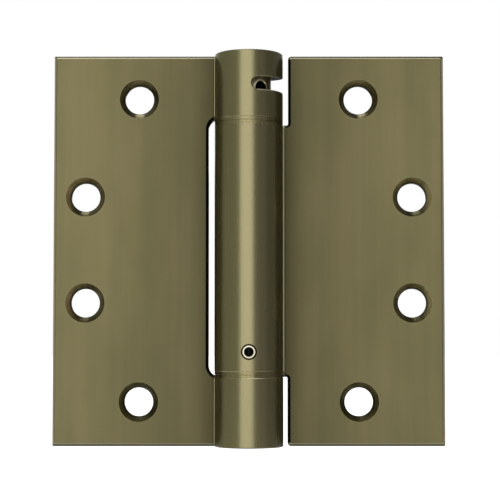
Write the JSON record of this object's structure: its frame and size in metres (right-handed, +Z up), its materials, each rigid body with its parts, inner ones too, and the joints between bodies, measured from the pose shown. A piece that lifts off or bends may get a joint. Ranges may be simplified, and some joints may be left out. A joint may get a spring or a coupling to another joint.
{
  "type": "spring hinge",
  "caption": "Full-mortise spring door hinge with square leaves, countersunk screw holes, a barrel that holds a torsion spring and a window to its adjusting plug.",
  "frame": {"origin": "on the barrel's axis, halfway up the leaves, which is also the middle of the outer box with the hinge opened flat", "axes": "+Z up along the barrel's axis, -Y out of the leaves' front faces (the side with the countersinks and the knuckles' bulge), +X towards the door leaf, -X towards the jamb leaf"},
  "size_m": [0.1142, 0.02, 0.1142],
  "materials": {
    "leaf_finish": "steel, satin antique-brass plating, brushed along the barrel",
    "plug_finish": "turned steel, satin antique-brass plating",
    "race_finish": "hardened steel, satin antique-brass plating on the rim",
    "cap_finish": "turned steel, satin antique-brass plating",
    "pin_steel": "bright rolled steel",
    "plug_steel": "turned steel, oiled",
    "spring_steel": "square spring wire, oiled",
    "bushing_bronze": "sintered bronze",
    "washer_steel": "ground steel",
    "washer_plastic": "low-friction plastic",
    "cage_brass": "stamped brass sheet",
    "ball_steel": "polished bearing steel"
  },
  "bodies": {
    "jamb": {"jamb_leaf": "leaf_finish", "top_cap": "cap_finish", "bottom_cap": "cap_finish", "plug_washer": "washer_steel", "upper_top_race": "race_finish", "lower_bottom_race": "race_finish", "bottom_bushing": "bushing_bronze"},
    "door": {"door_leaf": "leaf_finish", "anchor_plug": "plug_steel", "anchor_pin": "pin_steel", "upper_bottom_race": "race_finish", "lower_top_race": "race_finish", "upper_bushing": "bushing_bronze", "spring_washer": "washer_plastic", "torsion_spring": "spring_steel"},
    "plug": {"tension_plug": "plug_finish"},
    "upper_bearing": {"upper_cage": "cage_brass", "upper_balls": "ball_steel"},
    "lower_bearing": {"lower_cage": "cage_brass", "lower_balls": "ball_steel"}
  },
  "joints": [
    {"name": "leaf_swing", "type": "hinge", "parent": "jamb", "child": "door", "pos_m": [0, 0, 0], "axis": [0, 0, 1], "range_deg": [-180, 130], "deforming": ["torsion_spring"]},
    {"name": "tension_turn", "type": "hinge", "parent": "jamb", "child": "plug", "pos_m": [0, 0, 0.04672], "axis": [0, 0, 1], "continuous": true, "deforming": ["torsion_spring"]},
    {"name": "upper_bearing_roll", "type": "hinge", "parent": "jamb", "child": "upper_bearing", "pos_m": [0, 0, 0.03685], "axis": [0, 0, 1], "range_deg": [-90, 65]},
    {"name": "lower_bearing_roll", "type": "hinge", "parent": "jamb", "child": "lower_bearing", "pos_m": [0, 0, -0.0363], "axis": [0, 0, 1], "range_deg": [-90, 65]}
  ],
  "couplings": [
    {"joint": "upper_bearing_roll", "follows": "leaf_swing", "ratio": 0.5},
    {"joint": "lower_bearing_roll", "follows": "leaf_swing", "ratio": 0.5}
  ]
}
